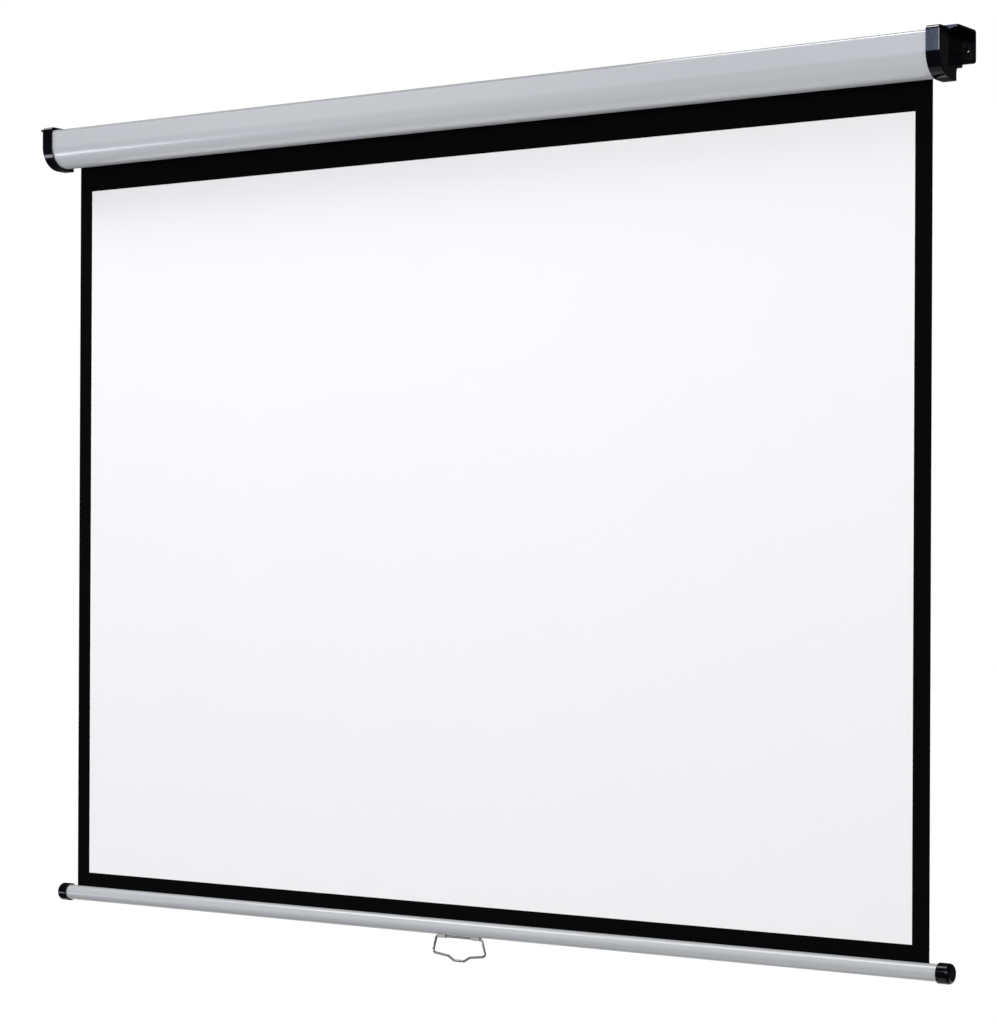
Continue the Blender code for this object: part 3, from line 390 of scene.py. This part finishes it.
NYLON = (0.72, 0.72, 0.68)
STEEL = (0.48, 0.48, 0.47)
SPRING_DARK = (0.13, 0.13, 0.14)
MACHINED = (0.08, 1, 1)
nylon = Finish("natural_nylon", NYLON, roughness=0.42, **{"Subsurface Weight": 0.05})
nylon.gloss(smoothest=0.36, roughest=0.50, scale=90)
nylon.grain(depth=0.00003, scale=500)
steel = Finish("machined_steel", STEEL, roughness=0.34, Metallic=1.0)
steel.gloss(smoothest=0.24, roughest=0.44, scale=240, detail=3.0)
steel.grain(depth=0.000008, scale=900, detail=1.0, stretch=MACHINED)
spring_wire = Finish("oiled_spring_wire", SPRING_DARK, roughness=0.38, Metallic=1.0)
spring_wire.gloss(smoothest=0.30, roughest=0.50, scale=300)
spring_wire.grain(depth=0.000008, scale=700)
dress(zinc, "roller_tube", "idle_pin", "lock_plug")
dress(nylon, "idle_plug", "idle_bush", "spring_plug", "hem_rod")
dress(steel, "spring_shaft", "spring_collar", "ratchet_disc", "pawl_rear", "pawl_front")
dress(steel, "pawl_pin_rear", "pawl_pin_front")
dress(spring_wire, "torsion_spring")

# The cloth is woven glass fibre coated matt black behind and round its edges. It hangs from the
# roller, drawn straight by the bar, with the least of waves left in it.
# Each wave has a pitch in metres, a lag in radians and a share of the depth.
WAVES = ((0.47, 0.8, 1.0), (0.21, 2.1, 0.45), (0.113, 4.0, 0.22))
WAVE_DEPTH = 0.00028
WAVE_FADE = 0.7
QUARTER_TURN = math.radians(90)
cloth_low, cloth_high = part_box("fabric_sheet")


def hung(name, low, high, front, thickness, finish):
    """A thin closed sheet between two corners that follows the cloth's upright waves."""
    sheet = Shape(
        name,
        width=high.x - low.x,
        height=high.z - low.z,
        middle_z=(low.z + high.z) / 2,
        front=front,
        columns=120,
        rows=80,
        wave_depth=WAVE_DEPTH,
        cloth_top=cloth_high.z,
        cloth_drop=cloth_high.z - cloth_low.z,
    )
    given = sheet.given
    grid = sheet.node(
        "GeometryNodeMeshGrid",
        {},
        {
            "Size X": given["width"],
            "Size Y": given["height"],
            "Vertices X": given["columns"],
            "Vertices Y": given["rows"],
        },
    )
    place = sheet.node("ShaderNodeCombineXYZ", {}, {1: given["front"], 2: given["middle_z"]})
    sockets = {0: grid, "Translation": place, "Rotation": (QUARTER_TURN, 0, 0)}
    upright = sheet.node("GeometryNodeTransform", {}, sockets)
    x, _, z = sheet.axes(sheet.node("GeometryNodeInputPosition"))
    down = (given["cloth_top"] - z) / given["cloth_drop"]
    held = sheet.maths("MAXIMUM", sheet.maths("SINE", down * math.pi), 0.0) ** WAVE_FADE
    rise = 0.0
    for pitch, lag, share in WAVES:
        rise = sheet.maths("SINE", x * (math.tau / pitch) + lag) * share + rise
    stand = sheet.node("ShaderNodeCombineXYZ", {}, {1: rise * held * given["wave_depth"]})
    waved = sheet.node("GeometryNodeSetPosition", {}, {0: upright, "Offset": stand})
    piece = sheet.make(waved, finish)
    wall = piece.modifiers.new("wall", "SOLIDIFY")
    wall.thickness = thickness
    wall.offset = -1
    return smooth(plain_mesh(piece))


CLOTH_BLACK = (0.0012, 0.0012, 0.0013)
WEAVE_SCALE = 950
WEAVE_UNEVEN = 0.6
WEAVE_DEPTH = 0.00004
black_cloth = Finish(
    "black_coated_cloth", CLOTH_BLACK, roughness=0.85, **{"Specular IOR Level": 0.05}
)
black_cloth.gloss(smoothest=0.80, roughest=0.92, scale=30)
threads = []
for direction in ("X", "Z"):
    sockets = {"Vector": black_cloth.place, "Scale": WEAVE_SCALE, "Distortion": WEAVE_UNEVEN}
    threads.append(
        black_cloth.node("ShaderNodeTexWave", {"bands_direction": direction}, sockets)
    )
black_cloth.bump(threads[0] * 0.5 + threads[1] * 0.5, WEAVE_DEPTH)

bar_joint = next(joint for joint in frame["joints"] if joint["name"] == "bar_slide")
travel = bar_joint["range_m"][1]
cloth_thickness = cloth_high.y - cloth_low.y
cloth = hung("screen_cloth", cloth_low, cloth_high, cloth_low.y, cloth_thickness, black_cloth)
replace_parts(fit(cloth, black_cloth, "housing"), "fabric_sheet")
cloth_keep = 1 - travel / (cloth_high.z - cloth_low.z)
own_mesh(cloth)

# The picture area is a matt white projection coating on the cloth's front, with a faint
# embossed grain. Beyond its sharp edge the bare black cloth makes the screen's border.
COAT_GAP = 0.00002
COAT_DEPTH = 0.00010
COAT_WHITE = (0.850, 0.850, 0.852)
COAT_SHADE = (0.838, 0.839, 0.846)
MOTTLE_SCALE = 3
coating = Finish(
    "projection_coating", COAT_WHITE, roughness=0.82, **{"Specular IOR Level": 0.25}
)
mottle = coating.noise(MOTTLE_SCALE, detail=3.0)
coating.set(**{"Base Color": coating.blend(mottle, COAT_WHITE, COAT_SHADE)})
coating.gloss(smoothest=0.76, roughest=0.90, scale=1500, detail=1.0)
coating.grain(depth=0.00004, scale=1900)
coat_low, coat_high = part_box("image_coat")
coat_front = cloth_low.y - COAT_GAP - COAT_DEPTH
coat = hung("picture_area", coat_low, coat_high, coat_front, COAT_DEPTH, coating)
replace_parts(fit(coat, coating, "housing"), "image_coat")
coat_keep = 1 - travel / (cloth_high.z - coat_low.z)
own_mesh(coat)
cloth_size = (cloth_high.x - cloth_low.x, cloth_high.z - cloth_low.z)

# One turn of the cloth stays on the roller when the screen is down, and leads into the sheet.
# It is wound in a spiral that grows by the cloth's own thickness.
WRAP_START_GAP = 0.0003
tube_low, tube_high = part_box("roller_tube")
wrap_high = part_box("fabric_wraps")[1]
tube_radius = (tube_high.z - tube_low.z) / 2
roller_y = (tube_low.y + tube_high.y) / 2
wrap_start = tube_radius + WRAP_START_GAP + cloth_thickness / 2
wrap_end = wrap_high.y - roller_y - cloth_thickness / 2
winding = Shape(
    "wound_cloth",
    turns=1.0,
    steps=96,
    inner_radius=wrap_start,
    outer_radius=wrap_end,
    thickness=cloth_thickness,
    width=cloth_size[0],
    roller_y=roller_y,
    roller_z=cloth_high.z,
)
given = winding.given
spiral = winding.node(
    "GeometryNodeCurveSpiral",
    {},
    {
        "Resolution": given["steps"],
        "Rotations": given["turns"],
        "Start Radius": given["inner_radius"],
        "End Radius": given["outer_radius"],
        "Height": 0.0,
    },
)
sockets = {"Width": given["thickness"], "Height": given["width"]}
section = winding.node("GeometryNodeCurvePrimitiveQuadrilateral", {}, sockets)
sockets = {0: spiral, 1: section, "Fill Caps": True}
wound = winding.node("GeometryNodeCurveToMesh", {}, sockets)
axis = winding.node("ShaderNodeCombineXYZ", {}, {1: given["roller_y"], 2: given["roller_z"]})
sockets = {0: wound, "Translation": axis, "Rotation": (QUARTER_TURN, 0, QUARTER_TURN)}
wound = winding.make(winding.node("GeometryNodeTransform", {}, sockets), black_cloth)
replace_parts(fit(wound, black_cloth, "roller"), "fabric_wraps")

# The bottom bar is a drawn aluminium tube, satin anodised silver, slotted along its top for the
# cloth's hem. Drawing leaves the faintest of lines along it, and its foot is painted a deeper grey
# as painted shade.
ANODISED = (0.470, 0.483, 0.502)
# Painted shade: the foot of the bar is painted this deeper grey.
ANODISED_FOOT_SHADE = (0.370, 0.380, 0.394)
FOOT_SHADE_HEIGHTS = (0.0075, 0.0010)
LINES_SCALE = 900
LINES_STRETCH = (0.004, 1, 1)
LINES_ROUGHNESS = 0.1
SATIN_ROUGHNESS = 0.26
LINES_DEPTH = 0.000008
SEAL_WEIGHT = 0.6
SEAL_ROUGHNESS = 0.12
anodised = Finish("satin_anodised", ANODISED, roughness=0.3, Metallic=0.05)
bar_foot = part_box("bottom_bar")[0].z
height = anodised.axes(anodised.place)[2]
# The painted shade grows towards the bar's foot.
foot_shade = anodised.step(height, *[bar_foot + above for above in FOOT_SHADE_HEIGHTS])
anodised.set(**{"Base Color": anodised.blend(foot_shade, ANODISED, ANODISED_FOOT_SHADE)})
lines = anodised.noise(LINES_SCALE, stretch=LINES_STRETCH)
anodised.set(Roughness=SATIN_ROUGHNESS + lines * LINES_ROUGHNESS)
anodised.set(**{"Coat Weight": SEAL_WEIGHT, "Coat Roughness": SEAL_ROUGHNESS})
anodised.bump(lines, LINES_DEPTH)
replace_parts(fit(smooth_copy("bottom_bar"), anodised, "bar"), "bottom_bar")

# Each end of the bar is closed by a black cup, moulded in the plastic of the end caps. It is
# pushed on over the tube, and keeps the hem rod from sliding out.
for name in ("bar_cap_left", "bar_cap_right"):
    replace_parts(fit(smooth_copy(name), moulded, "bar"), name)

# The pull handle is one closed loop of nickel-plated wire, bent to a dropped finger grip. Its
# front is painted bright as a painted reflection, and its sides dark and less metallic as painted
# shade.
# It swings about its straight top rail.
# The corners of its right half are given across and down from the rail's middle, in metres.
HANDLE_CORNERS = ((0.040, 0.0), (0.047, -0.0245), (0.019, -0.028), (0.009, -0.034))
BEND_RADIUS = 0.0045
BEND_STEPS = 8
WIRE_SIDES = 20
NICKEL = (0.66, 0.65, 0.62)
# Painted shade: the wire's sides, away from its front, are painted this dark and less metallic.
NICKEL_SIDE_SHADE = (0.050, 0.048, 0.044)
SIDE_METAL = 0.3
SHEEN_SHARES = (0.5, 0.95)
handle_low, handle_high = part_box("pull_handle")
wire_radius = (handle_high.y - handle_low.y) / 2
rail_y = (handle_low.y + handle_high.y) / 2
rail_z = handle_low.z - HANDLE_CORNERS[-1][1] + wire_radius
plated = Finish("nickel_plate", NICKEL, roughness=0.15, **{"Specular IOR Level": 0.2})
front = plated.axes(plated.place)[1]
# A painted reflection: only the front of the wire keeps the bright nickel, the rest is painted
# dark.
front_sheen = plated.step(front, *[rail_y - wire_radius * share for share in SHEEN_SHARES])
plated.set(**{"Base Color": plated.blend(front_sheen, NICKEL_SIDE_SHADE, NICKEL)})
plated.set(Metallic=SIDE_METAL + front_sheen * (1 - SIDE_METAL))
plated.gloss(smoothest=0.08, roughest=0.18, scale=300)
plated.grain(depth=0.00001, scale=800)
bend = Shape("handle_wire", wire_radius=wire_radius, bend_radius=BEND_RADIUS)
given = bend.given
route = bmesh.new()
loop = [(-x, z) for x, z in HANDLE_CORNERS] + list(reversed(HANDLE_CORNERS))
corners = [route.verts.new((x, rail_y, rail_z + z)) for x, z in loop]
for first, second in zip(corners, corners[1:] + corners[:1]):
    route.edges.new((first, second))
route_mesh = bpy.data.meshes.new("handle_route")
route.to_mesh(route_mesh)
route.free()
path = bend.node("GeometryNodeMeshToCurve", {}, {0: bend.start})
sockets = {0: path, "Count": BEND_STEPS, "Radius": given["bend_radius"]}
path = bend.node("GeometryNodeFilletCurve", {"mode": "POLY"}, sockets)
sockets = {"Resolution": WIRE_SIDES, "Radius": given["wire_radius"]}
ring = bend.node("GeometryNodeCurvePrimitiveCircle", {"mode": "RADIUS"}, sockets)
wire = bend.make(bend.node("GeometryNodeCurveToMesh", {}, {0: path, 1: ring}), plated, route_mesh)
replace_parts(fit(wire, plated, "handle"), "pull_handle")

# Two straps hold the rail under the bar. Each is a strip of nickel-plated steel, folded round the
# wire, with its two legs clinched through slits in the tube.
STRAP_PALE = (0.74, 0.73, 0.66)
strap_plate = Finish("strap_nickel", STRAP_PALE, roughness=0.34, Metallic=0.6)
strap_plate.gloss(smoothest=0.30, roughest=0.42, scale=400)
strap_plate.grain(depth=0.00001, scale=900, stretch=DRAWN)
for name in ("handle_strap_left", "handle_strap_right"):
    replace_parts(fit(smooth_copy(name), strap_plate, "bar"), name)

# The floor is a plain pale sheet well below the screen, whose far parts fade to plain white, so
# that it keeps the screen's shadow and shows no edge. Glossy parts mirror the white behind the
# screen and a dim room in front of it.
FLOOR_HEIGHT = -2.2
FLOOR_PLACE = (0.2, -0.4)
FLOOR_SIZE = 5.6
FADE_REACH = (1.3, 2.5)
MIRROR_REACH = (0.3, 1.0)
BEHIND_REACH = (0.3, 1.2)
ROOM_DARK = 0.06
PLAIN_WHITE = (1.0, 1.0, 1.0)
FLOOR_PALE = (0.62, 0.62, 0.62)
pale = Finish("pale_floor", FLOOR_PALE, roughness=0.9, **{"Specular IOR Level": 0.1})
bpy.ops.mesh.primitive_plane_add(size=FLOOR_SIZE, location=(*FLOOR_PLACE, FLOOR_HEIGHT))
floor = bpy.context.active_object
floor.name = "floor"
floor.data.materials.append(pale.material)


def seen_rays(nodes):
    """Rays that come straight from the camera, and those that come off metal or through glass."""
    rays = nodes.node("ShaderNodeLightPath").socket.node.outputs
    straight = Value(nodes, rays["Is Camera Ray"])
    mirrored = Value(nodes, rays["Is Glossy Ray"])
    through = Value(nodes, rays["Is Transmission Ray"])
    return straight, nodes.maths("ADD", mirrored, through, clamp=True)


straight, mirrored = seen_rays(pale)
away = pale.node("ShaderNodeVectorMath", {"operation": "LENGTH"}, {0: pale.place}, output=1)
behind = pale.step(pale.axes(pale.place)[1], *BEHIND_REACH)
level = straight + mirrored * (ROOM_DARK + behind * (1 - ROOM_DARK))
glow = pale.node("ShaderNodeEmission", {}, {"Color": PLAIN_WHITE, "Strength": level})
lit = Value(pale, pale.shader.outputs[0])
unlit = straight * pale.step(away, *FADE_REACH)
unlit = unlit + mirrored * pale.step(away, *MIRROR_REACH)
mixed = pale.node("ShaderNodeMixShader", {}, {0: unlit, 1: lit, 2: glow})
pale.tree.links.new(mixed.socket, pale.tree.nodes["Material Output"].inputs["Surface"])

# The room is plain white behind the screen, where the camera and the metal see it, and dim round
# the lamps. Its walls still scatter plain even light on everything.
ROOM_LEVEL = 0.495
BACKDROP = (-0.57, 0.82, 0.0)
BACKDROP_ANGLES = (11.0, 4.0)
world = bpy.data.worlds.new("room")
bpy.context.scene.world = world
world.use_nodes = True
room = Nodes(world.node_tree)
straight, mirrored = seen_rays(room)
towards = room.node("ShaderNodeTexCoord")
facing = room.node(
    "ShaderNodeVectorMath",
    {"operation": "DOT_PRODUCT"},
    {0: towards, 1: Vector(BACKDROP).normalized()},
    output=1,
)
backdrop = room.step(facing, *[math.cos(math.radians(angle)) for angle in BACKDROP_ANGLES])
reflected = ROOM_DARK + backdrop * (1 - ROOM_DARK)
scattered = mirrored * reflected + (1 - mirrored) * ROOM_LEVEL
background = room.tree.nodes["Background"]
room.feed(background.inputs["Color"], PLAIN_WHITE)
room.feed(background.inputs["Strength"], straight + (1 - straight) * scattered)

# Soft lamps: one tall box on each side of the camera, a wide dim panel at the left that shows in
# the case's flat front, a small cool one that shows in the right cap's, a narrow one for its
# upright edge, three overhead for the top edges, and a low one for the band on the round front.


def lamp(name, place, target, size, radiance, colour=PLAIN_WHITE):
    """A rectangular soft lamp at a place, turned to a target, of a given brightness."""
    data = bpy.data.lights.new(name, "AREA")
    data.shape = "RECTANGLE"
    data.size, data.size_y = size
    data.energy = radiance * math.pi * size[0] * size[1]
    data.color = colour
    piece = bpy.data.objects.new(name, data)
    piece.location = place
    aim = Vector(target) - Vector(place)
    piece.rotation_euler = aim.to_track_quat("-Z", "Y").to_euler()
    piece.visible_camera = False
    bpy.context.scene.collection.objects.link(piece)


# Each call gives a place and a target, then the width and height in metres and the brightness.
SKY = (0.58, 0.70, 1.0)
LAVENDER = (0.88, 0.88, 1.0)
lamp("left_box", (0.40, -3.4, 0.2), (0.0, 0, -0.6), (0.8, 1.7), 6.9)
lamp("right_box", (3.3, -3.0, 0.2), (0.2, 0, -0.6), (0.8, 1.7), 5.0)
lamp("edge_lamp", (1.94, -3.4, 0.65), (0.78, 0, 0), (0.14, 0.7), 29.0)
lamp("left_panel", (-2.6, -3.4, 0.1), (0.0, 0, -0.2), (1.2, 2.6), 0.8)
lamp("cap_lamp", (-0.78, -3.4, 0.72), (0.8, 0, 0), (0.24, 0.75), 7.0, SKY)
lamp("cap_strip", (-0.17, -0.6, 1.9), (-0.17, -0.59, 0), (0.15, 0.8), 30.0)
lamp("left_strip", (-2.35, -0.75, 1.9), (-0.3, 0, -0.9), (2.2, 0.5), 6.6)
lamp("top_lamp", (-0.75, -0.6, 1.9), (-0.75, -0.59, 0), (1.7, 1.2), 4.6)
lamp("low_lamp", (-3.8, -2.2, -1.85), (-0.5, 0, -0.1), (1.3, 0.7), 9.2, LAVENDER)

# The camera stands to the right of the screen and a little below its middle, as in the
# photograph. Its place, turn and lens come from the corners of the picture, the bar and the case.
FRAME_WIDTH = 997
FRAME_HEIGHT = 1024
SENSOR_MILLIMETRES = 36
FOCAL_PIXELS = 2817.8
CENTRE_DROP_PIXELS = 52.12
YAW = -34.669
PITCH = 0.065
ROLL = 0.249
CAMERA_PLACE = (2.3706, -3.3473, -0.6729)
camera_data = bpy.data.cameras.new("camera")
camera_data.sensor_width = SENSOR_MILLIMETRES
longer = max(FRAME_WIDTH, FRAME_HEIGHT)
camera_data.lens = FOCAL_PIXELS * camera_data.sensor_width / longer
camera_data.shift_y = CENTRE_DROP_PIXELS / longer
camera = bpy.data.objects.new("camera", camera_data)
yaw = math.radians(YAW)
pitch = math.radians(PITCH)
forward = Vector(
    (math.sin(yaw) * math.cos(pitch), math.cos(yaw) * math.cos(pitch), math.sin(pitch))
)
right = Vector((math.cos(yaw), -math.sin(yaw), 0))
up = right.cross(forward)
turn = Matrix((right, up, -forward)).transposed()
roll = Matrix.Rotation(math.radians(ROLL), 3, "Z")
camera.matrix_world = Matrix.Translation(CAMERA_PLACE) @ (turn @ roll).to_4x4()
bpy.context.scene.collection.objects.link(camera)
bpy.context.scene.camera = camera

# Colours are shown as they are.
bpy.context.scene.view_settings.view_transform = "Standard"
